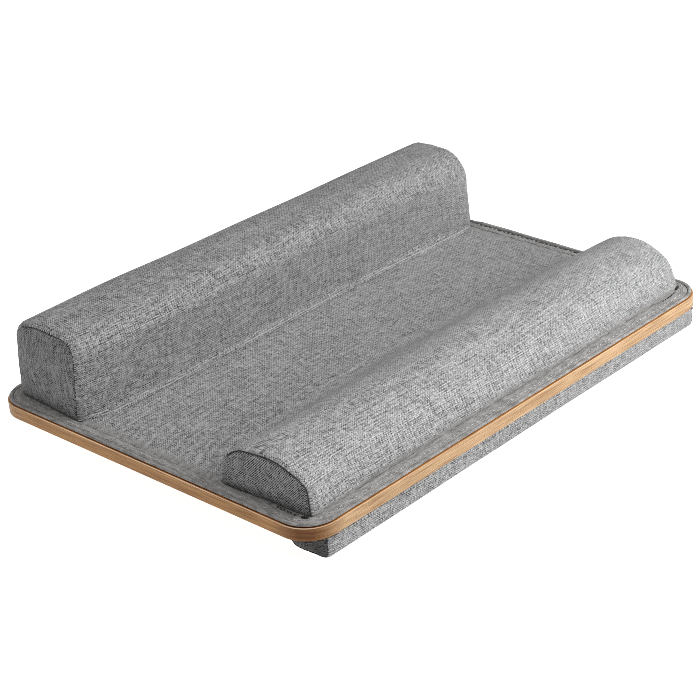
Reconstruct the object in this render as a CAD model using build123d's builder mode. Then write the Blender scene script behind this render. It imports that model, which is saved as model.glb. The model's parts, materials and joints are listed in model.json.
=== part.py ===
from build123d import *
import os
from math import asin, atan2, cos, degrees, hypot, radians, sin, tan

# A lap desk lying face down: a thin board with a wooden edge, two foam bolsters of different
# heights on its cloth-covered underside, and a padded wrist rest on its working face.
# It stands on the wrist rest and on the back edge of the board, so the board is tilted.
# Lengths are millimetres and angles degrees. +X is along the desk, +Y to its back, +Z up.

# Board
board_length = 430
board_depth = 316
board_thickness = 9.6
corner_radius = 24
edge_width = 3  # solid wood lipping round the core
edge_round = 1  # rounding of the lipping's outer edges
laminate_thickness = 0.8
backing_thickness = 0.8

# Cloth
cloth = 1.5  # bolster cloth with its thin foam lining
rest_cloth = 1.2

# Hem round the underside
hem_inset = 1.75  # from the board's edge to the piping
piping_width = 2.8
piping_height = 2.2
stitch_gap = 0.4  # sunk stitch line between piping and hem band
hem_height = cloth  # level with the floor panel
hem_inner_length = 411
hem_inner_depth = 290

# Bolsters, as sections across the desk: y from the board's middle, z from its underside
bolster_length = 406
back_outline = ((141, cloth), (131.5, 67.5), (65.5, 65.5), (66, cloth))
back_radii = (16, 14)
front_outline = ((-145, cloth), (-144, 25.5), (-114, 34.5), (-86, 32.5), (-58, 8.5), (-38, cloth))
front_radii = (10, 60, 42, 45)

# Wrist rest on the working face
rest_length = 400
rest_inset = 2.5  # from the board's front edge
rest_depth = 35
rest_height = 16.4  # its thickest, under the ridge it stands on
rest_front_height = 14.8
ridge_inset = 25.5  # from the board's front edge to the middle of that ridge
rest_front_radius = 3.5
rest_ridge_radius = 25
rest_inner_radius = 9
tape_thickness = 0.6
tape_width = 9
tape_length = 380
rest_base_thickness = 2
rest_base_depth = 30

# The floor line touches the ridge and the rounded back edge
half_depth = board_depth / 2
ridge_y = ridge_inset - half_depth
ridge_z = -board_thickness - rest_height
to_edge_y = half_depth - edge_round - ridge_y
to_edge_z = edge_round - board_thickness - ridge_z
tilt = degrees(atan2(to_edge_z, to_edge_y) - asin(edge_round / hypot(to_edge_y, to_edge_z)))


def floor_z(y):
    """Height of the floor below the board's underside, at a distance y from its middle."""
    return ridge_z + (y - ridge_y) * tan(radians(tilt))


# The desk's own plane: its origin is the middle of the board's underside
slope_sin = sin(radians(tilt))
slope_cos = cos(radians(tilt))
lift = ridge_y * slope_sin - ridge_z * slope_cos
desk = Plane(
    origin=(0, board_thickness / 2 * slope_sin, lift),
    x_dir=(1, 0, 0),
    z_dir=(0, slope_sin, slope_cos),
)
desk_up = Axis(desk.origin, desk.z_dir)


def section(x):
    """A plane across the desk at x, with its own X to the back and its own Y out of the underside."""
    origin = desk.from_local_coords(Vector(x, 0, 0))
    return Plane(origin=origin, x_dir=desk.y_dir, z_dir=desk.x_dir)


def outline_face(points, radii):
    """A closed face: a line through the points with rounded corners, closed along its base."""
    with BuildSketch(mode=Mode.PRIVATE) as face:
        with BuildLine():
            walls = FilletPolyline(*points, radius=radii)
            Line(walls @ 1, walls @ 0)
        make_face()
    return face.sketch


os.makedirs("parts", exist_ok=True)
print(f"desk tilted by {tilt:.3f} degrees, its underside's middle at {desk.origin}")

# ---- Board -------------------------------------------------------------------------------

core_size = (board_length - 2 * edge_width, board_depth - 2 * edge_width, corner_radius - edge_width)

with BuildPart() as edge_band:
    with BuildSketch(desk):
        RectangleRounded(board_length, board_depth, corner_radius)
        RectangleRounded(*core_size, mode=Mode.SUBTRACT)
    extrude(amount=-board_thickness)
    rims = edge_band.faces().sort_by(desk_up)
    fillet(rims[0].outer_wire().edges() + rims[-1].outer_wire().edges(), edge_round)
edge_band.part.label = "edge_band"
export_step(edge_band.part, "parts/edge_band.step")

with BuildPart() as backing_sheet:
    with BuildSketch(desk):
        RectangleRounded(*core_size)
    extrude(amount=-backing_thickness)
backing_sheet.part.label = "backing_sheet"
export_step(backing_sheet.part, "parts/backing_sheet.step")

with BuildPart() as desk_core:
    with BuildSketch(desk.offset(-backing_thickness)):
        RectangleRounded(*core_size)
    extrude(amount=backing_thickness + laminate_thickness - board_thickness)
desk_core.part.label = "desk_core"
export_step(desk_core.part, "parts/desk_core.step")

with BuildPart() as desk_face_laminate:
    with BuildSketch(desk.offset(-board_thickness)):
        RectangleRounded(*core_size)
    extrude(amount=laminate_thickness)
desk_face_laminate.part.label = "desk_face_laminate"
export_step(desk_face_laminate.part, "parts/desk_face_laminate.step")

# ---- Hem and floor panel -----------------------------------------------------------------


def rounded_rectangle(inset, mode=Mode.ADD):
    """The board's outline, this far inside its edge."""
    RectangleRounded(
        board_length - 2 * inset,
        board_depth - 2 * inset,
        corner_radius - inset,
        mode=mode,
    )


with BuildPart() as hem_piping:
    with BuildSketch(desk):
        rounded_rectangle(hem_inset)
        rounded_rectangle(hem_inset + piping_width, mode=Mode.SUBTRACT)
    extrude(amount=piping_height)
    fillet(hem_piping.faces().sort_by(desk_up)[-1].edges(), 0.45 * piping_width)
hem_piping.part.label = "hem_piping"
export_step(hem_piping.part, "parts/hem_piping.step")

band_corner = corner_radius - (board_length - hem_inner_length) / 2
with BuildPart() as hem_band:
    with BuildSketch(desk):
        rounded_rectangle(hem_inset + piping_width + stitch_gap)
        RectangleRounded(hem_inner_length, hem_inner_depth, band_corner, mode=Mode.SUBTRACT)
    extrude(amount=hem_height)
    fillet(hem_band.faces().sort_by(desk_up)[-1].edges(), 0.4 * hem_height)
hem_band.part.label = "hem_band"
export_step(hem_band.part, "parts/hem_band.step")

with BuildPart() as floor_panel:
    with BuildSketch(desk):
        RectangleRounded(hem_inner_length, hem_inner_depth, band_corner)
    extrude(amount=cloth)
floor_panel.part.label = "floor_panel"
export_step(floor_panel.part, "parts/floor_panel.step")

# ---- Bolsters: a foam core in a sewn cover with two end panels ------------------------------

bolsters = {
    "back_bolster": outline_face(back_outline, back_radii),
    "front_bolster": outline_face(front_outline, front_radii),
}
bolster_ends = {"left": -bolster_length / 2, "right": bolster_length / 2 - cloth}

for bolster, outline in bolsters.items():
    with BuildPart() as cover:
        with BuildSketch(section(-bolster_length / 2)):
            add(outline)
            offset(amount=-cloth, kind=Kind.INTERSECTION, mode=Mode.SUBTRACT)
        extrude(amount=bolster_length)
    cover.part.label = f"{bolster}_cover"
    export_step(cover.part, f"parts/{bolster}_cover.step")

    with BuildPart() as foam:
        with BuildSketch(section(cloth - bolster_length / 2)):
            add(outline)
            offset(amount=-cloth, kind=Kind.INTERSECTION)
        extrude(amount=bolster_length - 2 * cloth)
    foam.part.label = f"{bolster}_foam"
    export_step(foam.part, f"parts/{bolster}_foam.step")

    for side, x in bolster_ends.items():
        with BuildPart() as end_panel:
            with BuildSketch(section(x)):
                add(outline)
                offset(amount=-cloth, kind=Kind.INTERSECTION)
            extrude(amount=cloth)
        end_panel.part.label = f"{bolster}_end_{side}"
        export_step(end_panel.part, f"parts/{bolster}_end_{side}.step")

# ---- Wrist rest: foam on a stiff strip, wrapped in cloth and taped to the working face -------

rest_front = rest_inset - half_depth
rest_back = rest_front + rest_depth
rest_top = -board_thickness - tape_thickness
slope_start = ridge_y - (rest_back - rest_inner_radius - ridge_y)
rest_outline = outline_face(
    (
        (rest_front, rest_top),
        (rest_front, -board_thickness - rest_front_height),
        (slope_start, floor_z(slope_start)),
        (rest_back, floor_z(rest_back)),
        (rest_back, rest_top),
    ),
    (rest_front_radius, rest_ridge_radius, rest_inner_radius),
)
rest_middle = (rest_front + rest_back) / 2
base_middle = rest_top - rest_cloth - rest_base_thickness / 2

with BuildPart() as wrist_rest_cover:
    with BuildSketch(section(-rest_length / 2)):
        add(rest_outline)
        offset(amount=-rest_cloth, kind=Kind.INTERSECTION, mode=Mode.SUBTRACT)
    extrude(amount=rest_length)
wrist_rest_cover.part.label = "wrist_rest_cover"
export_step(wrist_rest_cover.part, "parts/wrist_rest_cover.step")

with BuildPart() as wrist_rest_base:
    with BuildSketch(section(rest_cloth - rest_length / 2)):
        with Locations((rest_middle, base_middle)):
            Rectangle(rest_base_depth, rest_base_thickness)
    extrude(amount=rest_length - 2 * rest_cloth)
wrist_rest_base.part.label = "wrist_rest_base"
export_step(wrist_rest_base.part, "parts/wrist_rest_base.step")

with BuildPart() as wrist_rest_foam:
    with BuildSketch(section(rest_cloth - rest_length / 2)):
        add(rest_outline)
        offset(amount=-rest_cloth, kind=Kind.INTERSECTION)
        with Locations((rest_middle, base_middle)):
            Rectangle(rest_base_depth, rest_base_thickness, mode=Mode.SUBTRACT)
    extrude(amount=rest_length - 2 * rest_cloth)
wrist_rest_foam.part.label = "wrist_rest_foam"
export_step(wrist_rest_foam.part, "parts/wrist_rest_foam.step")

for side, x in {"left": -rest_length / 2, "right": rest_length / 2 - rest_cloth}.items():
    with BuildPart() as rest_end:
        with BuildSketch(section(x)):
            add(rest_outline)
            offset(amount=-rest_cloth, kind=Kind.INTERSECTION)
        extrude(amount=rest_cloth)
    rest_end.part.label = f"wrist_rest_end_{side}"
    export_step(rest_end.part, f"parts/wrist_rest_end_{side}.step")

with BuildPart() as wrist_rest_tape:
    with BuildSketch(desk.offset(-board_thickness)):
        with Locations((0, rest_middle)):
            with GridLocations(0, rest_depth - 2 * tape_width, 1, 2):
                Rectangle(tape_length, tape_width)
    extrude(amount=-tape_thickness)
wrist_rest_tape.part.label = "wrist_rest_tape"
export_step(wrist_rest_tape.part, "parts/wrist_rest_tape.step")
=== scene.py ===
import json
from math import cos, pi, radians, sin, sqrt

import bpy
import numpy as np
from mathutils import Matrix, Vector


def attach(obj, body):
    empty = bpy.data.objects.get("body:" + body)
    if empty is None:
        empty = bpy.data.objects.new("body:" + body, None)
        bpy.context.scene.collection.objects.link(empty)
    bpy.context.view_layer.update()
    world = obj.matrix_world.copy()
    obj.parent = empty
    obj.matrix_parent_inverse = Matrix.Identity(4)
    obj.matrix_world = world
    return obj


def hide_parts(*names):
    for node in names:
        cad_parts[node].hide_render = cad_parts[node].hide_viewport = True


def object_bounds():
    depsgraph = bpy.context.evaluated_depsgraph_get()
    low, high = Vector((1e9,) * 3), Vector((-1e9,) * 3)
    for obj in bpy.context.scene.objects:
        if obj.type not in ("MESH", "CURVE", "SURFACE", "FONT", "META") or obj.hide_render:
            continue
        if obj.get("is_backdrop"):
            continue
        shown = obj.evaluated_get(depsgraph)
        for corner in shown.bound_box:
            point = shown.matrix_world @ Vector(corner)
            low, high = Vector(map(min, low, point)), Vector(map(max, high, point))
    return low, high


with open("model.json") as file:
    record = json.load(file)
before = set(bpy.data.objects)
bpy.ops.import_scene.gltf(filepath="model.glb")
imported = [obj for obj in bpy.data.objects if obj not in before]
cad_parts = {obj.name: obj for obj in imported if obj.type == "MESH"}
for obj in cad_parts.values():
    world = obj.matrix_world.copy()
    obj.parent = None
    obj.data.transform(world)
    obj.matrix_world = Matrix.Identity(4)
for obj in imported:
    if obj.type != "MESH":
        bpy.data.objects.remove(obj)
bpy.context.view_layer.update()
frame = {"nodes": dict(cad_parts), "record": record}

# The looks of a lap desk that lies face down. Shapes are worked out in millimetres in the desk's
# own axes: x along it, y to its back, z up out of the cloth side, from the middle of that side.
# place() turns them into the frame's metres.
MM = 0.001

# ---- The desk's own axes, from the frame ---------------------------------------------------

face = next(m for m in frame["record"]["mounts"] if m["name"] == "working_face")
desk_up = -Vector(face["axis"]).normalized()
desk_axes = np.array([(1, 0, 0), desk_up.cross(Vector((1, 0, 0))), desk_up])
face_middle = np.array(face["pos_m"])


def from_face(node):
    """A CAD node's lowest and highest corner in the desk's axes, in mm from the working face."""
    points = np.array([v.co for v in frame["nodes"][node].data.vertices])
    local = (points - face_middle) @ desk_axes.T / MM
    return local.min(axis=0), local.max(axis=0)


board_low, board_high = from_face("edge_band")
thickness = board_high[2]
half_length = board_high[0]
half_depth = (board_high[1] - board_low[1]) / 2
desk_origin = face_middle + desk_axes[2] * thickness * MM


def extent(node):
    """A CAD node's extent in the desk's axes, in mm."""
    low, high = from_face(node)
    shift = np.array((0, 0, thickness))
    return low - shift, high - shift


def place(points):
    """Points in the desk's axes, in mm, as points in the frame, in metres."""
    return np.asarray(points, float) * MM @ desk_axes + desk_origin


# ---- Small geometry helpers ----------------------------------------------------------------


def smooth(value):
    """0 below 0, 1 above 1, and an even S between."""
    t = np.clip(value, 0, 1)
    return t * t * (3 - 2 * t)


def waves(length, along, across, seed, count=8):
    """A smooth uneven field, about -1 to 1, whose features have this length in mm."""
    draws = np.random.default_rng(seed)
    total = 0
    for _ in range(count):
        turn = draws.uniform(0, 2 * pi)
        phase = draws.uniform(0, 2 * pi)
        size = length * draws.uniform(0.7, 1.6)
        total = total + np.sin(2 * pi * (along * cos(turn) + across * sin(turn)) / size + phase)
    return total / sqrt(count)


def rounded_outline(start, corners, end, per_line=10, per_arc=10):
    """A line from start to end past corners (y, z, radius), each rounded by an arc."""
    places = [np.array(p[:2], float) for p in (start, *corners, end)]
    points = []
    here = places[0]
    for before, corner, after, (_, _, radius) in zip(places, places[1:], places[2:], corners):
        incoming = (corner - before) / np.linalg.norm(corner - before)
        outgoing = (after - corner) / np.linalg.norm(after - corner)
        turn = np.arccos(np.clip(incoming @ outgoing, -1, 1))
        side = np.sign(incoming[0] * outgoing[1] - incoming[1] * outgoing[0])
        begin = corner - incoming * radius * np.tan(turn / 2)
        centre = begin + side * radius * np.array((-incoming[1], incoming[0]))
        points += [here + (begin - here) * t for t in np.linspace(0, 1, per_line, endpoint=False)]
        y, z = begin - centre
        for t in np.linspace(0, side * turn, per_arc, endpoint=False):
            points.append(centre + (y * cos(t) - z * sin(t), y * sin(t) + z * cos(t)))
        here = corner + outgoing * radius * np.tan(turn / 2)
    points += [here + (places[-1] - here) * t for t in np.linspace(0, 1, per_line)]
    return np.array(points)


def inward(outline):
    """Unit normals on the left of an outline's direction, which is inside the bar."""
    step = np.gradient(outline, axis=0)
    step /= np.linalg.norm(step, axis=1, keepdims=True)
    return np.stack((-step[:, 1], step[:, 0]), axis=1)


def lengths_along(points):
    """Distance along a line of points."""
    steps = np.linalg.norm(np.diff(points, axis=0), axis=1)
    return np.concatenate(((0,), np.cumsum(steps)))


# ---- Mesh pieces ---------------------------------------------------------------------------

cloth_thickness = 0.9
sim_frames = 20


def make_piece(name, points, faces, uv, material, pressed=None):
    """A smooth mesh from points in the desk's axes, with a cloth map in mm.

    uv holds one pair for each corner of each face. pressed says how far each point's weave was
    pressed flat, from 0 to 1.
    """
    mesh = bpy.data.meshes.new(name)
    mesh.from_pydata([tuple(p) for p in place(points)], [], faces)
    layer = mesh.uv_layers.new(name="cloth")
    layer.data.foreach_set("uv", np.asarray(uv, float).ravel())
    if pressed is not None:
        mask = mesh.attributes.new("pressed", "FLOAT", "POINT")
        mask.data.foreach_set("value", np.asarray(pressed, float).ravel())
    mesh.shade_smooth()
    mesh.materials.append(material)
    mesh.update()
    piece = bpy.data.objects.new(name, mesh)
    bpy.context.collection.objects.link(piece)
    return piece


def grid_faces(rows, columns, loop_rows=False, loop_columns=False):
    """Each face's corners as (row, column) pairs, one past the last where the grid loops."""
    for i in range(rows if loop_rows else rows - 1):
        for j in range(columns if loop_columns else columns - 1):
            yield (i, j), (i, j + 1), (i + 1, j + 1), (i + 1, j)


def loop_faces(rows, columns):
    """Point numbers of the faces of a grid whose columns loop."""
    pairs = grid_faces(rows, columns, loop_columns=True)
    return [[i * columns + j % columns for i, j in corners] for corners in pairs]


def grid_piece(name, grid, uv, material, loop_rows=False, loop_columns=False, pressed=None):
    """A piece from a grid of points. uv has one more row or column where the grid loops."""
    rows, columns = grid.shape[:2]
    faces, corner_uv = [], []
    for corners in grid_faces(rows, columns, loop_rows, loop_columns):
        faces.append([i % rows * columns + j % columns for i, j in corners])
        corner_uv += [uv[i, j] for i, j in corners]
    return make_piece(name, grid.reshape(-1, 3), faces, corner_uv, material, pressed)


def thicken(piece):
    """Gives a sheet of cloth its thickness, on the side away from its normals."""
    solid = piece.modifiers.new("cloth thickness", "SOLIDIFY")
    solid.thickness = cloth_thickness * MM
    solid.offset = -1
    solid.use_quality_normals = True


def settle(piece, slot, *nodes):
    """Hangs a piece on the one body and hides the CAD nodes it stands in for. slot is not used."""
    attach(piece, "root")
    if nodes:
        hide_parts(*nodes)


def puff(piece, seams, pressure, limit):
    """Swells a padded panel by a cloth simulation that holds its seams, by at most limit mm.

    The foam inside keeps every point from moving inward.
    """
    group = piece.vertex_groups.new(name="seams")
    group.add([int(k) for k in seams], 1.0, "REPLACE")
    cloth_sim = piece.modifiers.new("swelling", "CLOTH")
    settings = cloth_sim.settings
    settings.quality = 4
    settings.mass = 0.3
    settings.tension_stiffness = 12
    settings.compression_stiffness = 12
    settings.shear_stiffness = 6
    settings.bending_stiffness = 0.6
    settings.use_pressure = True
    settings.uniform_pressure_force = pressure
    settings.vertex_group_mass = "seams"
    settings.effector_weights.gravity = 0
    cloth_sim.point_cache.frame_end = sim_frames
    scene = bpy.context.scene
    for number in range(1, sim_frames + 1):
        scene.frame_set(number)
    swollen = piece.evaluated_get(bpy.context.evaluated_depsgraph_get()).data
    count = len(piece.data.vertices)
    before, after = np.empty(count * 3), np.empty(count * 3)
    piece.data.vertices.foreach_get("co", before)
    swollen.vertices.foreach_get("co", after)
    move = (after - before).reshape(-1, 3)
    outward = np.array([v.normal[:] for v in piece.data.vertices])
    into_foam = np.minimum((move * outward).sum(axis=1, keepdims=True), 0)
    move -= outward * into_foam
    size = np.linalg.norm(move, axis=1, keepdims=True)
    capped = move * (limit * MM / np.maximum(size, limit * MM))
    piece.data.vertices.foreach_set("co", (before.reshape(-1, 3) + capped).ravel())
    piece.modifiers.remove(cloth_sim)
    piece.vertex_groups.remove(group)
    piece.data.update()
    scene.frame_set(1)


# ---- Materials -----------------------------------------------------------------------------


class Shader:
    """A material's node tree, written as short formulas."""

    def __init__(self, name):
        self.material = bpy.data.materials.new(name)
        self.material.use_nodes = True
        self.tree = self.material.node_tree
        self.surface = self.tree.nodes["Principled BSDF"]

    def node(self, kind, inputs=(), **settings):
        made = self.tree.nodes.new(kind)
        for key, value in settings.items():
            setattr(made, key, value)
        for key, value in dict(inputs).items():
            self.feed(made.inputs[key], value)
        return made

    def feed(self, socket, value):
        if isinstance(value, bpy.types.NodeSocket):
            self.tree.links.new(value, socket)
        else:
            socket.default_value = value

    def math(self, operation, *values, clamp=False):
        made = self.node("ShaderNodeMath", operation=operation, use_clamp=clamp)
        for socket, value in zip(made.inputs, values):
            self.feed(socket, value)
        return made.outputs[0]

    def add(self, first, *rest):
        for value in rest:
            first = self.math("ADD", first, value)
        return first

    def times(self, first, *rest):
        for value in rest:
            first = self.math("MULTIPLY", first, value)
        return first

    def spread(self, value, middle, gain):
        """A value's distance from the middle, made larger."""
        return self.times(self.math("SUBTRACT", value, middle), gain)

    def ramp(self, value, low, high, to_low=0.0, to_high=1.0):
        sockets = {"Value": value, "From Min": low, "From Max": high, "To Min": to_low, "To Max": to_high}
        return self.node("ShaderNodeMapRange", sockets).outputs["Result"]

    def vector(self, x, y, z=0.0):
        return self.node("ShaderNodeCombineXYZ", {"X": x, "Y": y, "Z": z}).outputs[0]

    def noise(self, x, y, z=0.0, detail=0.0, roughness=0.5):
        sockets = {"Vector": self.vector(x, y, z), "Scale": 1.0, "Detail": detail, "Roughness": roughness}
        return self.node("ShaderNodeTexNoise", sockets).outputs["Fac"]

    def mix(self, factor, first, second, blend="MIX"):
        made = self.node("ShaderNodeMix", data_type="RGBA", blend_type=blend)
        for socket, value in zip((made.inputs[0], made.inputs[6], made.inputs[7]), (factor, first, second)):
            self.feed(socket, value)
        return made.outputs[2]

    def mix_value(self, factor, first, second):
        made = self.node("ShaderNodeMix", data_type="FLOAT")
        for socket, value in zip((made.inputs[0], made.inputs[2], made.inputs[3]), (factor, first, second)):
            self.feed(socket, value)
        return made.outputs[0]

    def painted_shade(self, part, colour, shade_colour):
        """A colour multiplied by a shade colour where part is 1: painted shade."""
        return self.mix(part, colour, self.mix(1.0, colour, (*shade_colour, 1), blend="MULTIPLY"))

    def cloth_map(self):
        """The two cloth coordinates, in mm."""
        uv = self.node("ShaderNodeUVMap", uv_map="cloth").outputs["UV"]
        split = self.node("ShaderNodeSeparateXYZ", {"Vector": uv})
        return split.outputs["X"], split.outputs["Y"]

    def position(self):
        """The point's own place in the frame, in mm."""
        place_of = self.node("ShaderNodeTexCoord").outputs["Object"]
        split = self.node("ShaderNodeSeparateXYZ", {"Vector": place_of})
        return [self.times(split.outputs[axis], 1 / MM) for axis in "XYZ"]

    def finish(self, colour, height, depth, **constants):
        """Sets the surface: depth is the bump's in mm, and constants are the shader's own sockets."""
        bump = self.node("ShaderNodeBump", {"Height": height, "Distance": depth * MM, "Strength": 1.0})
        self.tree.links.new(bump.outputs["Normal"], self.surface.inputs["Normal"])
        self.feed(self.surface.inputs["Base Color"], colour)
        for key, value in constants.items():
            self.surface.inputs[socket_names[key]].default_value = value
        return self.material


socket_names = {
    "roughness": "Roughness",
    "sheen": "Sheen Weight",
    "sheen_roughness": "Sheen Roughness",
    "specular": "Specular IOR Level",
}


def tinted(value, tint):
    """A linear colour of this value, with a small tint on red and off blue."""
    return (value * (1 + tint), value, value * (1 - tint), 1)


pressed_dark, pressed_light = 0.115, 0.4


def pressed_tone(s, along, across):
    """The tone of cloth whose weave was pressed flat: felted, with faint threads."""
    threads = s.noise(s.times(along, 0.12), s.times(across, 1.7), detail=2.0)
    mottle = s.noise(s.times(along, 0.12), s.times(across, 0.3), detail=4.0, roughness=0.65)
    fuzz = s.noise(s.times(along, 1.3), s.times(across, 1.3), detail=2.0, roughness=0.7)
    tone = s.add(s.spread(threads, 0.5, 1.2), s.spread(mottle, 0.5, 1.9), s.spread(fuzz, 0.5, 1.9), 0.5)
    return s.math("ADD", tone, 0.0, clamp=True), s.add(fuzz, threads)


def woven_cloth(name, dark, light, pitch=0.9, weft_weight=1.0, warp_weight=0.9, checker=0.35):
    """Plain weave of heathered yarn: each thread has its own tone, which changes along it.

    The yarn is a little more even towards the right end of the desk.
    """
    s = Shader(name)
    along, across = s.cloth_map()
    a, b = s.times(along, 1 / pitch), s.times(across, 1 / pitch)
    column, row = s.math("FLOOR", a), s.math("FLOOR", b)
    weft_over = s.math("GREATER_THAN", s.math("FRACT", s.times(s.add(row, column), 0.5)), 0.25)
    odd_row = s.math("GREATER_THAN", s.math("FRACT", s.times(row, 0.5)), 0.25)

    def yarn(run, thread, shift, weight):
        """A thread's tone: long pale or dark stretches, and shorter flecks."""
        slub = s.noise(s.times(run, 0.06), s.add(s.times(thread, 7.31), shift))
        fleck = s.noise(s.times(run, 0.25), s.add(s.times(thread, 5.17), shift))
        return s.add(s.spread(slub, 0.5, 1.0 * weight), s.spread(fleck, 0.5, 1.1 * weight))

    weft = s.add(yarn(a, row, 3.3, weft_weight), checker)
    warp = s.add(yarn(b, column, 91.7, warp_weight), -checker)
    share = s.ramp(weft_over, 0.0, 1.0, 0.3, 0.75)
    cell = s.node("ShaderNodeTexWhiteNoise", {"Vector": s.vector(column, row)}, noise_dimensions="2D")
    cloudy = s.noise(s.times(along, 0.012), s.times(across, 0.02), detail=3.0)
    tone = s.add(
        s.mix_value(share, warp, weft),
        s.spread(cell.outputs["Value"], 0.5, 0.45),
        s.spread(odd_row, 0.5, 0.12),
        s.spread(cloudy, 0.5, 0.14),
    )
    evened = s.ramp(along, -half_length, half_length, 1.15, 0.72)
    tone = s.math("ADD", s.times(tone, evened), 0.5, clamp=True)
    crown_a = s.math("SINE", s.times(s.math("FRACT", a), pi))
    crown_b = s.math("SINE", s.times(s.math("FRACT", b), pi))
    pillow = s.math("POWER", s.times(crown_a, crown_b), 0.6)
    woven = s.mix(tone, tinted(dark, -0.03), tinted(light, 0.0))
    # Painted shade: each thread's cell is darker at its edges, in the gaps between threads.
    shade = s.ramp(pillow, 0.0, 1.0, 0.75, 1.05)
    woven = s.mix(1.0, woven, s.vector(shade, shade, shade), blend="MULTIPLY")
    fuzz = s.noise(s.times(along, 2.2), s.times(across, 2.2), detail=2.0)
    woven_height = s.add(pillow, s.times(fuzz, 0.3))

    flat_tone, flat_height = pressed_tone(s, along, across)
    flat = s.mix(flat_tone, tinted(pressed_dark, 0.03), tinted(pressed_light, 0.03))
    mask = s.node("ShaderNodeAttribute", attribute_name="pressed").outputs["Fac"]
    colour = s.mix(mask, woven, flat)
    height = s.mix_value(mask, woven_height, s.times(flat_height, 0.5))
    return s.finish(colour, height, 0.04, roughness=0.92, sheen=0.1, sheen_roughness=0.5, specular=0.15)


def pressed_cloth(name, dark, light, tint):
    """Cloth that was pressed flat all over, or thread."""
    s = Shader(name)
    along, across = s.cloth_map()
    tone, height = pressed_tone(s, along, across)
    colour = s.mix(tone, tinted(dark, tint), tinted(light, tint))
    return s.finish(colour, height, 0.1, roughness=0.9, sheen=0.1, sheen_roughness=0.5, specular=0.2)


def edge_wood(arris, ledge_end, left_shade_span, ring_length):
    """Straight-grained lipping with a satin varnish: the cloth map's first axis is the grain's.

    arris and ledge_end are distances round its section, of the upper outer edge and of the
    ledge's inner side. The ledge is darkened by painted shade under the rolled edge, and the arris
    has a painted highlight. left_shade_span is where painted shade darkens the left side along
    the ring, and the ring ends after the corner that follows it, darkest of all by painted shade.
    """
    s = Shader("edge_wood")
    run, cross = s.cloth_map()
    wander = s.spread(s.noise(s.times(run, 0.02), s.times(cross, 0.1), detail=2.0), 0.5, 1.5)
    line = s.add(cross, wander)
    broad = s.noise(s.times(run, 0.012), s.times(line, 0.4), detail=2.0)
    fine = s.noise(s.times(run, 0.04), s.times(line, 1.6), detail=2.0, roughness=0.6)
    pores = s.noise(s.times(run, 0.3), s.times(line, 4.0), detail=1.0)
    grain = s.add(s.spread(broad, 0.5, 1.2), s.spread(fine, 0.5, 2.6), s.spread(pores, 0.5, 0.7), 0.5)
    grain = s.math("ADD", grain, 0.0, clamp=True)
    wood = s.mix(grain, (0.28, 0.15, 0.063, 1), (0.6, 0.4, 0.225, 1))
    start, end = left_shade_span
    # Painted shade: the left side of the ring is darker along this span.
    left_shade = s.times(s.ramp(run, start - 20, start + 20), s.ramp(run, end + 37, end + 14))
    wood = s.painted_shade(left_shade, wood, (0.9, 0.71, 0.45))
    # Painted shade: the wood darkens towards the corner after the left side.
    corner = (end + ring_length) / 2
    behind = s.math("ABSOLUTE", s.math("SUBTRACT", run, corner))
    from_corner = s.math("MINIMUM", behind, s.add(run, ring_length - corner))
    wood = s.painted_shade(s.ramp(from_corner, 28.0, 4.0), wood, (0.43, 0.31, 0.17))
    # Painted shade: the ledge under the rolled edge is darker and more orange.
    ledge_shade = s.times(s.ramp(cross, arris, arris + 0.5), s.ramp(cross, ledge_end + 3, ledge_end))
    wood = s.painted_shade(ledge_shade, wood, (0.9, 0.56, 0.25))
    # Painted highlight: a pale line along the arris, strongest on the left side.
    far_from_arris = s.math("ABSOLUTE", s.math("SUBTRACT", cross, arris - 0.1))
    arris_highlight = s.times(s.ramp(far_from_arris, 0.55, 0.15), s.ramp(broad, 0.35, 0.6, 0.5, 1.0))
    arris_highlight = s.times(arris_highlight, s.ramp(left_shade, 0.0, 1.0, 0.3, 1.0))
    wood = s.mix(arris_highlight, wood, (0.88, 0.68, 0.48, 1))
    return s.finish(wood, grain, 0.05, roughness=0.45, specular=0.25)


def laminate():
    """Wood-pattern laminate on the working face, with its grain along the desk."""
    s = Shader("laminate_wood")
    x, y, _ = s.position()
    bend = s.spread(s.noise(s.times(x, 0.003), s.times(y, 0.012), detail=2.0), 0.5, 60.0)
    line = s.add(y, bend)
    broad = s.noise(s.times(x, 0.0025), s.times(line, 0.06), detail=4.0, roughness=0.6)
    fine = s.noise(s.times(x, 0.02), s.times(line, 0.9), detail=3.0, roughness=0.6)
    pores = s.noise(s.times(x, 0.15), s.times(line, 2.5), detail=1.0)
    tone = s.add(s.spread(broad, 0.5, 1.7), s.spread(fine, 0.5, 1.2), s.spread(pores, 0.5, 0.5), 0.5)
    tone = s.math("ADD", tone, 0.0, clamp=True)
    colour = s.mix(tone, (0.33, 0.16, 0.06, 1), (0.62, 0.38, 0.18, 1))
    return s.finish(colour, fine, 0.03, roughness=0.4)


def specked(name, colour, speck, size, roughness):
    """A pressed or foamed material: specks of this size in mm over a mottled colour."""
    s = Shader(name)
    x, y, z = (s.times(value, 1 / size) for value in s.position())
    specks = s.noise(x, y, z, detail=4.0, roughness=0.7)
    tone = s.math("ADD", s.spread(specks, 0.5, 2.0), 0.5, clamp=True)
    return s.finish(s.mix(tone, (*speck, 1), (*colour, 1)), specks, 0.15, roughness=roughness)


cloth = woven_cloth("heathered_cloth", 0.055, 0.505)
# Painted shade: a darker copy of the cloth for the tall bolster's left end panel.
tall_end_cloth_painted_shade = woven_cloth("heathered_cloth_tall_ends_painted_shade", 0.02, 0.37, weft_weight=0.5, warp_weight=1.9)
# Painted light: a lighter copy of the cloth for the low bolster's wrap.
low_cloth_painted_light = woven_cloth("heathered_cloth_low_painted_light", 0.085, 0.565)
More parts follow.
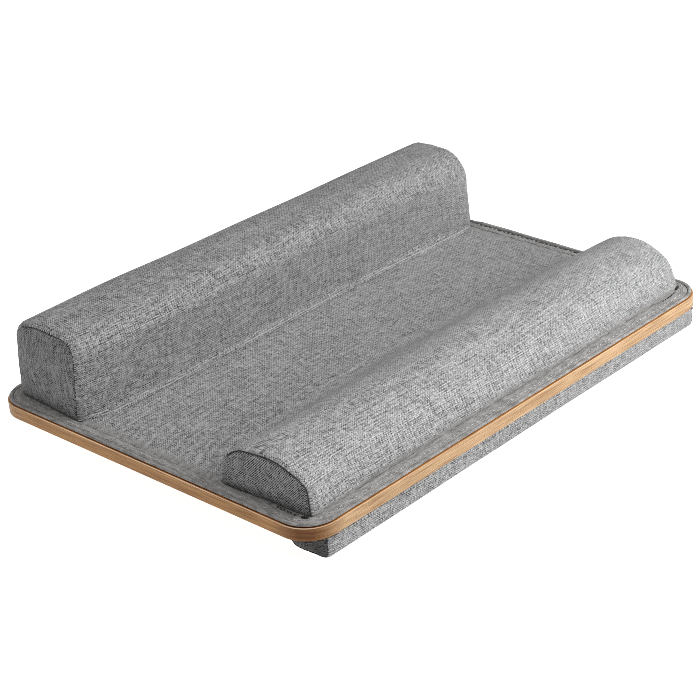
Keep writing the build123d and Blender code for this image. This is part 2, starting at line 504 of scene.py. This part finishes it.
# Painted shade: a darker copy of the cloth for the low bolster's left end panel.
low_end_cloth_painted_shade = woven_cloth("heathered_cloth_low_ends_painted_shade", 0.01, 0.385, checker=0.75)
# Painted shade: a much darker copy of the cloth for the wrist rest's ends, under the board.
rest_end_cloth_painted_shade = woven_cloth("heathered_cloth_rest_ends_painted_shade", 0.015, 0.17)
hem_cloth = pressed_cloth("pressed_hem", pressed_dark, pressed_light, 0.03)
# Dark thread for seams and tacks; it also lays painted shade in the low bolster's seam ditch and in the
# gaps at its foot.
dark_thread_and_painted_shade = pressed_cloth("dark_thread_and_painted_shade", 0.015, 0.05, 0.0)
hem_thread = pressed_cloth("hem_thread", 0.4, 0.62, 0.02)
# Painted highlight: a light pressed cloth for the fold at the tall bolster's foot.
fold_cloth_painted_highlight = pressed_cloth("fold_cloth_painted_highlight", 0.22, 0.62, 0.0)
foam = specked("foam", (0.78, 0.75, 0.66), (0.6, 0.57, 0.48), 1.2, 0.95)
hardboard = ((0.36, 0.29, 0.21), (0.25, 0.2, 0.14), 2.5, 0.8)
board_finishes = {
    "desk_core": specked("fibreboard", (0.42, 0.29, 0.17), (0.28, 0.18, 0.1), 1.5, 0.85),
    "desk_face_laminate": laminate(),
    "backing_sheet": specked("backing_board", *hardboard),
    "wrist_rest_base": specked("stiff_strip", *hardboard),
    "wrist_rest_tape": specked("mounting_tape", (0.75, 0.75, 0.7), (0.62, 0.62, 0.58), 4.0, 0.5),
}
for node, material in board_finishes.items():
    frame["nodes"][node].data.materials.clear()
    frame["nodes"][node].data.materials.append(material)

# ---- Rings round the board: wooden edge, rolled edge, hem band ---------------------------------

board_corner = 24  # radius
per_corner = 22
per_side = {"long": 130, "short": 96}


def ring_line(side_inset, front_inset, back_inset, radius):
    """Points round a rounded rectangle inside the board's edge, from the left of the front."""
    left, right = side_inset - half_length, half_length - side_inset
    front, back = front_inset - half_depth, half_depth - back_inset
    centres = (
        (right - radius, front + radius, "long"),
        (right - radius, back - radius, "short"),
        (left + radius, back - radius, "long"),
        (left + radius, front + radius, "short"),
    )
    points = []
    here = np.array((left + radius, front))
    for turn, (x, y, side) in zip((-90, 0, 90, 180), centres):
        start = np.array((x + radius * cos(radians(turn)), y + radius * sin(radians(turn))))
        points += [here + (start - here) * t for t in np.linspace(0, 1, per_side[side], endpoint=False)]
        for angle in np.radians(np.linspace(turn, turn + 90, per_corner, endpoint=False)):
            points.append(np.array((x + radius * cos(angle), y + radius * sin(angle))))
        end = radians(turn + 90)
        here = np.array((x + radius * cos(end), y + radius * sin(end)))
    return np.array(points)


def even_ring(inset):
    """The board's outline, moved in by this much."""
    return ring_line(inset, inset, inset, board_corner - inset)


def round_length(line):
    """Distance along a closed line of points, back to its start."""
    return lengths_along(np.vstack((line, line[:1])))


def ring_piece(name, lines, heights, material, unevenness=0.0, pressed=None):
    """A closed ring whose section goes through each line at its height, outer side first.

    A height is one value, or one for each point of its line.
    """
    heights = [np.broadcast_to(z, len(line)) for line, z in zip(lines, heights)]
    grid = np.array([np.column_stack(pair) for pair in zip(lines, heights)])
    run = round_length(lines[0])
    around = lengths_along(np.vstack((grid[:, 0], grid[:1, 0])))
    lift = waves(26, run[:-1], around[:-1, None] * 3, len(name)) * unevenness
    grid[:, :, 2] += lift * smooth(grid[:, :, 2])
    uv = np.stack(np.meshgrid(run, around), axis=-1)
    return grid_piece(name, grid, uv, material, loop_rows=True, loop_columns=True, pressed=pressed)


def quarter(start):
    """Angles of a quarter turn, in eight steps."""
    return np.radians(np.linspace(start, start + 90, 8))


# The lipping's outer edges are rounded, and a narrow ledge of it shows outside the cloth
edge_width = extent("edge_band")[1][0] - extent("desk_core")[1][0]
edge_round = 0.6
edge_section = [(edge_width, -thickness)]
edge_section += [(edge_round * (1 - cos(a)), edge_round * (1 + sin(a)) - thickness) for a in quarter(-90)]
edge_section += [(0, -thickness * part) for part in (0.8, 0.6, 0.4, 0.2)]
edge_section += [(edge_round * (1 - cos(a)), edge_round * (sin(a) - 1)) for a in quarter(0)]
edge_section += [(edge_width * 0.7, 0), (edge_width, 0), (edge_width, -thickness / 2)]
round_it = lengths_along(np.array(edge_section))
edge_lines = [even_ring(inset) for inset, _ in edge_section]
ring_length = float(round_length(edge_lines[0])[-1])
left_corner = ring_length - board_corner * pi / 2
# The span of the left side that painted shade darkens.
left_shade_span = (left_corner - 2 * (half_depth - board_corner), left_corner)
upper_arris, ledge_end = float(round_it[-7]), float(round_it[-2])
edge_finish = edge_wood(upper_arris, ledge_end, left_shade_span, ring_length)
edge_band = ring_piece("wooden_edge", edge_lines, [z for _, z in edge_section], edge_finish)
settle(edge_band, "edge_wood", "edge_band")


channel_front, channel_back = -62, 66


def right_gap(line):
    """For each point of a ring, 1 on the right side between the bolsters, and 0 elsewhere."""
    x, y = line[:, 0], line[:, 1]
    between = smooth((y - channel_front) / 12) * smooth((channel_back - y) / 8)
    return between * smooth((x - half_length + 8) / 2)


# The cover's rolled edge stands higher on that side. It stands out a little from the CAD piping.
rolled_inset = half_length - extent("hem_piping")[1][0] - 0.55
rolled_width, rolled_height = 2.8, 2.2
rolled_angles = np.linspace(0, 2 * pi, 14, endpoint=False)
rolled_lines = [even_ring(rolled_inset + rolled_width / 2 * (1 - cos(a))) for a in rolled_angles]
rolled_heights = [
    rolled_height / 2 * (1 + sin(a)) * (1 + 0.45 * right_gap(line))
    for line, a in zip(rolled_lines, rolled_angles)
]
rolled_edge = ring_piece("rolled_edge", rolled_lines, rolled_heights, hem_cloth, 0.12)
settle(rolled_edge, "hem_cloth", "hem_piping")

# The pressed band, from the sunk line inside the rolled edge to just over the floor panel's rim
floor_low, floor_high = extent("floor_panel")
band_outer = even_ring(half_length - extent("hem_band")[1][0] - 0.9)
band_overlap = 1.2
band_side = half_length - floor_high[0] + band_overlap
band_front = half_depth - floor_high[1] + band_overlap
band_corner, band_top = 14, 1.9
band_inner = ring_line(band_side, band_front, band_front, band_corner)
band_section = (
    ((0, 0.1), (0.01, 1.15), (0.06, 1.5), (0.2, 1.75))
    + tuple((part, band_top) for part in (0.38, 0.5, 0.6, 0.66, 0.72, 0.82))
    + ((0.93, 1.7), (1.0, 1.1), (1.0, 0.1))
)
band_run = round_length(band_outer)
from_start = np.minimum(band_run, band_run[-1] - band_run)[:-1]
band_wobble = 1 + 0.07 * waves(14, band_run[:-1], 0.0, 29) * smooth(from_start / 30)
band_reach = (band_inner - band_outer) * band_wobble[:, None]
band_lines = [band_outer + band_reach * part for part, _ in band_section]

# At the right, between the bolsters, the band isn't pressed, and stands off the rolled edge
open_right = right_gap(band_outer)
band_heights, band_pressed = [], []
for part, z in band_section:
    sunk = 1 - smooth((part - 0.1) / 0.16)
    band_heights.append(np.maximum(z - 1.7 * sunk * open_right, 0.05))
    band_pressed.append(1 - open_right * smooth((part - 0.1) / 0.1))
hem_band = ring_piece("pressed_band", band_lines, band_heights, cloth, 0.16, pressed=np.array(band_pressed))
settle(hem_band, "hem_cloth", "hem_band")

# ---- Stitches --------------------------------------------------------------------------------


def point_at(run, distance, line):
    """The place at this run along a line of points that lie at these distances."""
    return np.array([np.interp(run, distance, line[:, axis]) for axis in range(3)])


def stitches(name, line, pitch, share, radius, material):
    """Short thread stitches along a line of points, each share of the pitch long."""
    distance = lengths_along(line)
    count = int(distance[-1] / pitch)
    sides = 6
    turns = np.linspace(0, 2 * pi, sides, endpoint=False)
    profile = ((-0.5, 0.25), (-0.42, 0.8), (-0.2, 1), (0.2, 1), (0.42, 0.8), (0.5, 0.25))
    draws = np.random.default_rng(len(name))
    points, faces, uv = [], [], []
    for k in range(count):
        middle = (k + 0.5 + draws.uniform(-0.08, 0.08)) * pitch
        first = len(points)
        for part, width in profile:
            at = middle + part * pitch * share
            centre = point_at(at, distance, line)
            step = point_at(at + 0.3, distance, line) - point_at(at - 0.3, distance, line)
            tangent = step / np.linalg.norm(step)
            side = np.cross(tangent, (0.3, 0.2, 0.93))
            side /= np.linalg.norm(side)
            up = np.cross(side, tangent)
            points += [centre + radius * width * (side * cos(t) + up * sin(t)) for t in turns]
        for i in range(len(profile) - 1):
            for j in range(sides):
                a, b = first + i * sides + j, first + i * sides + (j + 1) % sides
                faces.append((a, b, b + sides, a + sides))
                uv += [(at, j), (at, j + 1), (at + 1, j + 1), (at + 1, j)]
        for base, order in ((first, -1), (first + sides * (len(profile) - 1), 1)):
            faces.append([base + j for j in range(sides)][::order])
            uv += [(at, j) for j in range(sides)]
    return make_piece(name, np.array(points), faces, uv, material)


# The hem's stitches run along the pressed band, nearer its outer side
stitch_place, stitch_height = 0.3, 2.05
stitch_line = band_outer + band_reach * stitch_place
stitch_line = np.column_stack((stitch_line, np.full(len(stitch_line), stitch_height)))
stitch_line = np.vstack((stitch_line, stitch_line[:1]))
hem_stitches = stitches("hem_stitches", stitch_line, 4.8, 0.5, 0.26, hem_thread)
settle(hem_stitches, "hem_cloth")

# ---- Floor panel -----------------------------------------------------------------------------

# Where the tall bolster's front wall meets the floor panel, which sinks into a crease there
tall_foot_x = (-150, 0, 100, 190)
tall_foot_y = (68.3, 68.0, 67.5, 63.6)

rim_gap, close_step = 0.3, 0.5
panel_x = np.linspace(floor_high[0] - rim_gap, floor_low[0] + rim_gap, 150)
panel_y = np.linspace(floor_low[1] + rim_gap, floor_high[1] - rim_gap, 110)
crease_y = np.arange(56, 72, close_step)
before_crease = panel_y[panel_y < crease_y[0] - close_step]
after_crease = panel_y[panel_y > crease_y[-1] + close_step]
panel_y = np.concatenate((before_crease, crease_y, after_crease))
grid_y, grid_x = np.meshgrid(panel_y, panel_x)
margin = np.minimum(floor_high[0] - np.abs(grid_x), floor_high[1] - np.abs(grid_y))
panel_z = 1.0 + 1.1 * np.sqrt(smooth(margin / 9)) + 0.12 * waves(60, grid_x, grid_y, 3)
crease = np.interp(grid_x, tall_foot_x, tall_foot_y) - 4.3
crease_width, crease_depth = 1.1, 1.1
fading = smooth((half_length - 14 - np.abs(grid_x)) / 12)
panel_z -= crease_depth * np.exp(-(((grid_y - crease) / crease_width) ** 2)) * fading
panel_grid = np.stack((grid_x, grid_y, panel_z), axis=-1)
panel_pressed = 1 - smooth((margin - 3) / 7)
floor_cloth = grid_piece("floor_cloth", panel_grid, panel_grid[:, :, :2], cloth, pressed=panel_pressed)
thicken(floor_cloth)
settle(floor_cloth, "grey_cloth", "floor_panel")

# ---- Padded bars: two bolsters and the wrist rest ------------------------------------------------


plan_fade = 45  # how far along a bar its rounded plan reaches
tuck_length, tuck_depth = 1.3, 1.1  # the wrap's edge, turned in behind the end panel


class Bar:
    """A padded bar: a cloth wrap along x, closed by a sewn panel at each end.

    stations are (x, outline) pairs from left to right, with a smooth curve between them. An
    outline goes from one foot over the bar to the other with the inside on its left. The wrap
    rolls over each end by roll = (depth, length). set_back rounds the bar's plan: how far an end
    is pulled in at a y. soft says how far from each foot the weave is pressed flat.
    """

    def __init__(self, name, stations, roll, set_back=None, soft=(0, 0), unevenness=0.3):
        self.name, self.roll = name, roll
        self.soft, self.unevenness = soft, unevenness
        self.set_back = set_back or (lambda y: y * 0)
        self.xs = np.array([x for x, _ in stations], float)
        self.outlines = np.array([outline for _, outline in stations])
        self.slopes = np.gradient(self.outlines, self.xs, axis=0)
        self.across = lengths_along(self.outlines[len(stations) // 2])

    def outline(self, x):
        k = min(max(np.searchsorted(self.xs, x) - 1, 0), len(self.xs) - 2)
        span = self.xs[k + 1] - self.xs[k]
        t = (x - self.xs[k]) / span
        first = (1 + 2 * t) * (1 - t) ** 2 * self.outlines[k] + t * (1 - t) ** 2 * span * self.slopes[k]
        second = t**2 * (3 - 2 * t) * self.outlines[k + 1] - t**2 * (1 - t) * span * self.slopes[k + 1]
        return first + second

    def from_end(self, x):
        return min(x - self.xs[0], self.xs[-1] - x)

    def end(self, side):
        return self.xs[0] if side < 0 else self.xs[-1]

    def row(self, x, deeper=0.0):
        """The wrap's points at a place along the bar, or points this much deeper."""
        depth, length = self.roll
        rolled = 1 - np.clip(self.from_end(x) / length, 0, 1)
        outline = self.outline(x)
        outline = outline + inward(outline) * (depth * (1 - sqrt(1 - rolled**2)) + deeper)
        pull = self.set_back(outline[:, 0]) * smooth(1 - self.from_end(x) / plan_fade)
        return np.column_stack((x - np.sign(x) * pull, outline))

    def places(self):
        """Where the wrap's rows are: close together in the rolls, and even between."""
        roll = self.roll[1] * np.linspace(0, 1, 8) ** 1.7
        near = np.concatenate((roll, np.arange(roll[-1] + 2, 60, 3.0)))
        left, right = self.xs[0] + near, self.xs[-1] - near
        return np.concatenate((left, np.linspace(left[-1], right[-1], 92)[1:-1], right[::-1]))

    def wrap(self, material, pressure, limit):
        xs = self.places()
        grid = np.array([self.row(x) for x in xs])
        by_seam = np.exp([-self.from_end(x) / 9 for x in xs])[:, None]
        lift = waves(75, grid[:, :, 0], self.across, 11) * self.unevenness
        lift += waves(9, self.across, xs[:, None] * 0.2, 5) * 0.22 * by_seam
        lift *= smooth(np.abs(grid[:, :, 2] - grid[0, 0, 2]) / 8)
        for row, amount in zip(grid, lift):
            row[:, 1:] -= inward(row[:, 1:]) * amount[:, None]
        tucked = []
        for row, way in ((grid[0], 1), (grid[-1], -1)):
            tuck = row.copy()
            tuck[:, 0] += way * tuck_length
            tuck[:, 1:] += inward(row[:, 1:]) * tuck_depth
            tucked.append(tuck)
        grid = np.concatenate((tucked[:1], grid, tucked[1:]))
        runs = np.concatenate((xs[:1] - tuck_length, xs, xs[-1:] + tuck_length))
        uv = np.stack(np.meshgrid(runs, self.across, indexing="ij"), axis=-1)
        from_start, from_end = self.across, self.across[-1] - self.across
        pressed = np.zeros_like(from_start)
        for distance, reach in ((from_start, self.soft[0]), (from_end, self.soft[1])):
            if reach:
                pressed = np.maximum(pressed, 1 - smooth((distance - reach * 0.35) / reach))
        pressed = np.broadcast_to(pressed, grid.shape[:2])
        piece = grid_piece(f"{self.name}_wrap", grid, uv, material, pressed=pressed)
        index = np.arange(grid.shape[0] * grid.shape[1]).reshape(grid.shape[:2])
        seams = (index[:3], index[-3:], index[:, :2], index[:, -2:])
        held = np.concatenate([seam.ravel() for seam in seams])
        puff(piece, np.unique(held), pressure, limit)
        thicken(piece)
        return piece

    def rim(self, side):
        """The seam at one end, closed along the foot. side is -1 at the left and 1 at the right."""
        seam = self.row(self.end(side), 0.25)
        loop = np.vstack((seam, seam[:1]))
        distance = lengths_along(loop)
        even = np.linspace(0, distance[-1], 120, endpoint=False)
        return np.column_stack([np.interp(even, distance, loop[:, axis]) for axis in range(3)])

    def end_panel(self, side, material, bulge, ditch, rise):
        """The sewn panel at one end: it sinks into a ditch at the seam, and bulges by this rise."""
        rim = self.rim(side)
        if side < 0:
            rim = rim[::-1]
        centre = np.array((0, rim[:, 1].mean(), (rim[:, 2].max() + rim[:, 2].min()) / 2))
        reach = np.linalg.norm((rim - centre)[:, 1:], axis=1)
        rows = []
        for t in np.concatenate((np.linspace(0, 0.12, 7), np.linspace(0.16, 0.94, 13))):
            row = centre + (rim - centre) * (1 - t)
            d = reach * t
            over_foot = smooth((row[:, 2] - rim[:, 2].min()) / rise)
            out = bulge * smooth(d / 16) * over_foot
            out += 0.9 * (1 - np.exp(-d / 1.4)) - ditch * np.exp(-d / 0.9)
            out += waves(22, row[:, 1], row[:, 2], 17 + side) * 0.25
            plan = self.end(side) - side * self.set_back(row[:, 1])
            row[:, 0] = rim[:, 0] * (1 - t) + plan * t + side * out
            rows.append(row)
        grid = np.array(rows)
        columns = grid.shape[1]
        points = np.vstack((grid.reshape(-1, 3), grid[-1].mean(axis=0)))
        faces = loop_faces(len(grid), columns)
        last = (len(grid) - 1) * columns
        faces += [[last + j, last + (j + 1) % columns, len(points) - 1] for j in range(columns)]
        uv = [points[k][1:] for corners in faces for k in corners]
        word = "left" if side < 0 else "right"
        piece = make_piece(f"{self.name}_end_cloth_{word}", points, faces, uv, material)
        thicken(piece)
        return piece

    def seam(self, side, pitch, share, radius, skip=0):
        """The stitches in the ditch at one end, but for the first skip points of its outline."""
        line = self.row(self.end(side), 0.1)[skip:]
        word = "left" if side < 0 else "right"
        return stitches(f"{self.name}_seam_{word}", line, pitch, share, radius, dark_thread_and_painted_shade)

    def core(self, gap, lowest):
        """The foam inside, a little smaller than the wrap and above lowest, closed all round."""
        xs = np.linspace(self.xs[0] + self.roll[1], self.xs[-1] - self.roll[1], 24)
        kept = (np.abs(self.outlines[:, :, 1]) > lowest).all(axis=0)
        grid = np.array([self.row(x, gap)[kept] for x in xs])
        rows, columns = grid.shape[:2]
        points = np.vstack((grid.reshape(-1, 3), grid[0].mean(axis=0), grid[-1].mean(axis=0)))
        faces = loop_faces(rows, columns)
        last = (rows - 1) * columns
        for j in range(columns):
            after = (j + 1) % columns
            faces.append([after, j, rows * columns])
            faces.append([last + j, last + after, rows * columns + 1])
        uv = [points[k][:2] for corners in faces for k in corners]
        return make_piece(f"{self.name}_core", points, faces, uv, foam)


def plan_corner(foot, radius, towards, share=0.8):
    """How far a bar's end is pulled in at a y, for a rounded corner of its plan at its foot."""

    def depth(y):
        over = np.clip((y - foot) * towards / radius + 1, 0, 1)
        return radius * share * (1 - np.sqrt(1 - over**2))

    return depth


def tall_outline(back, foot, shoulder, crown, radius, ridge=3.2, back_shoulder=65.0, lean=8.5):
    """Section of the tall bolster: its back wall's foot, and its front wall's foot and shoulder."""
    corners = (
        (back - lean, back_shoulder, 16),
        (back - 33, crown, 50),
        (shoulder, 65.8, radius),
        (foot, 4.2, 0.75 * ridge),
        (foot - ridge, 2.9, 0.37 * ridge),
    )
    return rounded_outline((back, 0.8), corners, (foot - 1.4 * ridge, 0.6))


def low_outline(inner_foot, corners, outer_foot):
    """Section of the low bolster, from its inner foot over its dome to its outer foot."""
    return rounded_outline((inner_foot, 1.4), corners, (outer_foot, 0.9))


# Corners of the low bolster's sections, from left to right: its soft toe is short at the left
low_left = ((-65, 6, 4), (-65.3, 21, 11), (-82.5, 34.8, 30), (-118, 38.6, 50), (-146, 29, 14))
low_near = ((-56, 5, 22), (-68, 21, 30), (-85, 34, 40), (-114, 36.5, 45), (-139, 26, 20))
low_middle = ((-49, 5, 35), (-70, 22.5, 80), (-86, 33, 45), (-112, 35.5, 45), (-136, 24.5, 22))
low_right = ((-53, 5, 20), (-69, 21, 60), (-86, 32.3, 40), (-110, 34.3, 45), (-134.5, 24, 22))

bars = {
    "back_bolster": Bar(
        "back_bolster",
        (
            (-203.2, tall_outline(145.8, 76.0, 69.0, 68.0, 15, ridge=0.5, back_shoulder=62.8, lean=10.5)),
            (-192, tall_outline(145.2, 72.8, 66.8, 68.0, 15, back_shoulder=63.4, lean=9.8)),
            (-150, tall_outline(143.5, 68.3, 64.5, 67.8, 15, back_shoulder=64.6)),
            (0, tall_outline(136.8, 68.0, 63.8, 67.9, 15)),
            (100, tall_outline(133.6, 67.5, 63.2, 67.6, 16)),
            (190, tall_outline(132.3, 63.6, 63.0, 66.6, 22)),
            (203.5, tall_outline(132.0, 61.6, 63.2, 66.2, 24, ridge=0.5)),
        ),
        roll=(3.0, 5.0),
        set_back=plan_corner(144, 9, 1),
        soft=(8, 0),
    ),
    "front_bolster": Bar(
        "front_bolster",
        (
            (-202.5, low_outline(-62.5, low_left, -147)),
            (-165, low_outline(-44, low_near, -145)),
            (-120, low_outline(-33, low_middle, -144)),
            (140, low_outline(-33, low_middle, -144)),
            (203.2, low_outline(-41, low_right, -142.5)),
        ),
        roll=(2.4, 4.5),
        set_back=plan_corner(-147, 10, -1),
        soft=(0, 3),
    ),
}
# The low bolster's wrap takes a lighter copy of the cloth, painted light, and the left end panels darker
# copies, painted shade; the right end panels take the plain cloth.
wrap_cloth = {"back_bolster": cloth, "front_bolster": low_cloth_painted_light}
left_end_cloth_painted_shade = {"back_bolster": tall_end_cloth_painted_shade, "front_bolster": low_end_cloth_painted_shade}

# An end panel's bulge, ditch and rise, and its seam's pitch, share, radius and points to skip
end_finish = {"back_bolster": (2.2, 0.6, 26), "front_bolster": (1.6, 0.8, 14)}
# The low bolster's seam runs almost unbroken, a dark line that is partly painted shade in the ditch.
seam_finish = {"back_bolster": (3.2, 0.55, 0.3, 18), "front_bolster": (2.6, 0.96, 0.38, 44)}

for name, bar in bars.items():
    wrap = bar.wrap(wrap_cloth[name], pressure=2.0, limit=0.7)
    settle(wrap, "grey_cloth", f"{name}_cover")
    settle(bar.core(2.6, lowest=6), "foam", f"{name}_foam")
    for side, word in ((-1, "left"), (1, "right")):
        material = left_end_cloth_painted_shade[name] if side < 0 else cloth
        panel = bar.end_panel(side, material, *end_finish[name])
        settle(panel, "grey_cloth", f"{name}_end_{word}")
        settle(bar.seam(side, *seam_finish[name]), "grey_cloth")

# Both ends of the low bolster's front foot are tacked down with dark thread, and a small gap
# beside them is painted shade, laid as thick dark thread: each one's path on the desk, pitch,
# share of the pitch and radius
tack_height = 2.5
tacks = {
    "corner_tacks_left": (((-203.6, -117), (-204, -130), (-204, -137)), 3.1, 0.6, 0.36),
    "corner_gap_left": (((-204.3, -139.4), (-201.4, -144.4)), 5.6, 0.9, 0.85),
    "corner_tacks_right": (((193, -145.2), (185, -146.6), (172, -147.2)), 3.1, 0.55, 0.4),
    "corner_gap_right": (((203.4, -141.2), (196.4, -143.8)), 6.4, 0.9, 1.0),
}
for name, (path, pitch, share, radius) in tacks.items():
    line = np.column_stack((np.array(path), np.full(len(path), tack_height)))
    settle(stitches(name, line, pitch, share, radius, dark_thread_and_painted_shade), "grey_cloth")

# The tall bolster's wrap is turned under along its front foot, in a rounded fold which
# follows one point of the bolster's outline; its lighter colour is a painted highlight
tall = bars["back_bolster"]
fold_place, fold_radius = 92, 0.42
fold_x = np.linspace(-190, 192, 260)
fold_path = np.array([tall.row(x)[fold_place] for x in fold_x])
fold_path[:, 2] += waves(14, fold_x, 0, 31) * 0.12
fold_turn = np.linspace(0, 2 * pi, 8, endpoint=False)
fold_grid = np.array([fold_path + (0, fold_radius * cos(t), fold_radius * sin(t)) for t in fold_turn])
fold_uv = np.stack(np.meshgrid(fold_x, np.arange(9.0)), axis=-1)
settle(grid_piece("tall_foot_fold", fold_grid, fold_uv, fold_cloth_painted_highlight, loop_rows=True), "grey_cloth")

# The wrist rest hangs under the board, with its outline from its front over its bottom to its back.
# It hangs a little lower than the CAD solid, most of all at its left end.
rest_low, rest_high = extent("wrist_rest_cover")
slope = desk_axes[2][1] / desk_axes[2][2]
ridge = -132.5
rest_bottom = rest_low[2] - 0.8
rest_front = rest_low[1] - 0.5


def rest_floor(y):
    """How low the wrist rest's cloth hangs at a y."""
    return rest_bottom + 0.05 + abs(y - ridge) * slope


rest_outline = rounded_outline(
    (rest_front + 8, rest_high[2]),
    (
        (rest_front, rest_high[2], 1.2),
        (rest_front + 0.2, rest_floor(2 * ridge - rest_front), 4.0),
        (ridge, rest_bottom, 25),
        (rest_high[1], rest_floor(rest_high[1]), 9.0),
        (rest_high[1], rest_high[2], 1.2),
    ),
    (rest_high[1] - 8, rest_high[2]),
)
left_outline = rest_outline - (0.5, 0.8)
rest_stations = ((-199.2, left_outline), (0, rest_outline), (202.5, rest_outline))
rest_corner = plan_corner(rest_front, 4, -1, 1.0)
wrist_rest = Bar("wrist_rest", rest_stations, roll=(1.4, 3.5), set_back=rest_corner, unevenness=0.1)
wrap = wrist_rest.wrap(cloth, pressure=1.0, limit=0.4)
settle(wrap, "grey_cloth", "wrist_rest_cover")
settle(wrist_rest.core(1.6, lowest=0), "foam", "wrist_rest_foam")
for side, word in ((-1, "left"), (1, "right")):
    settle(wrist_rest.end_panel(side, rest_end_cloth_painted_shade, 0.6, 0.5, 1), "grey_cloth", f"wrist_rest_end_{word}")
    settle(wrist_rest.seam(side, 2.8, 0.7, 0.3), "grey_cloth")

# ---- Floor, light and camera -------------------------------------------------------------------

scene = bpy.context.scene


def studio_floor():
    """A large pale floor, just under the object."""
    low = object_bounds()[0]
    mesh = bpy.data.meshes.new("studio_floor")
    reach = 12
    signs = ((-1, -1), (1, -1), (1, 1), (-1, 1))
    corners = [(x * reach, y * reach, low.z - 0.0002) for x, y in signs]
    mesh.from_pydata(corners, [], [(0, 1, 2, 3)])
    s = Shader("studio_floor")
    x, y, _ = s.position()
    tone = s.noise(s.times(x, 0.05), s.times(y, 0.05), detail=2.0)
    grey = s.mix(tone, (0.34, 0.34, 0.34, 1), (0.36, 0.36, 0.36, 1))
    s.finish(grey, tone, 0.001, roughness=0.9, specular=0.1)
    s.surface.inputs["Emission Color"].default_value = (1, 1, 1, 1)
    s.surface.inputs["Emission Strength"].default_value = 0.93
    mesh.materials.append(s.material)
    floor = bpy.data.objects.new("studio_floor", mesh)
    bpy.context.collection.objects.link(floor)
    floor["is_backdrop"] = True


def light_world(fill):
    """A white surround that itself gives only this much light."""
    world = bpy.data.worlds.new("soft_surround")
    world.use_nodes = True
    tree = world.node_tree
    seen = tree.nodes.new("ShaderNodeLightPath").outputs["Is Camera Ray"]
    strength = tree.nodes.new("ShaderNodeMapRange")
    strength.inputs["To Min"].default_value = fill
    strength.inputs["To Max"].default_value = 1.0
    tree.links.new(seen, strength.inputs["Value"])
    tree.links.new(strength.outputs["Result"], tree.nodes["Background"].inputs["Strength"])
    tree.nodes["Background"].inputs["Color"].default_value = (1, 1, 1, 1)
    scene.world = world


def softbox(name, position, power, size):
    """A square soft light at this position in metres, aimed at the object."""
    lamp = bpy.data.lights.new(name, "AREA")
    lamp.energy = power
    lamp.size = size
    lit = bpy.data.objects.new(name, lamp)
    lit.location = position
    lit.rotation_mode = "QUATERNION"
    lit.rotation_quaternion = Vector(position).to_track_quat("Z", "Y")
    lit.visible_camera = False
    bpy.context.collection.objects.link(lit)


studio_floor()
light_world(0.05)
softbox("key_light", (0.38, -0.73, 0.5), 9.3, 0.6)
softbox("top_light", (-0.3, 0.0, 1.4), 11.2, 0.9)
softbox("left_light", (-1.2, 0.1, 0.9), 1.0, 0.8)

# The camera is given in the desk's axes: it stands off the near left corner, and leans a little
camera_data = bpy.data.cameras.new("camera")
camera_data.lens = 109.85
camera_data.sensor_width = 36
camera = bpy.data.objects.new("camera", camera_data)
bpy.context.collection.objects.link(camera)
azimuth, elevation, roll = radians(-44.814), radians(26.951), radians(-4.8875)
aim_at, distance = np.array((-12.57, -3.68, 0)), 1559.09
back = np.array((sin(azimuth) * cos(elevation), -cos(azimuth) * cos(elevation), sin(elevation)))
level = np.array((cos(azimuth), sin(azimuth), 0))
right = level * cos(roll) + np.cross(back, level) * sin(roll)
matrix = Matrix.Identity(4)
for column, axis in enumerate((right, np.cross(back, right), back)):
    for number, value in enumerate(axis @ desk_axes):
        matrix[number][column] = value
for number, value in enumerate(place(aim_at + back * distance)):
    matrix[number][3] = value
camera.matrix_world = matrix
scene.camera = camera
scene.view_settings.view_transform = "Standard"
scene.cycles.filter_width = 0.7
scene.cycles.denoising_prefilter = "NONE"
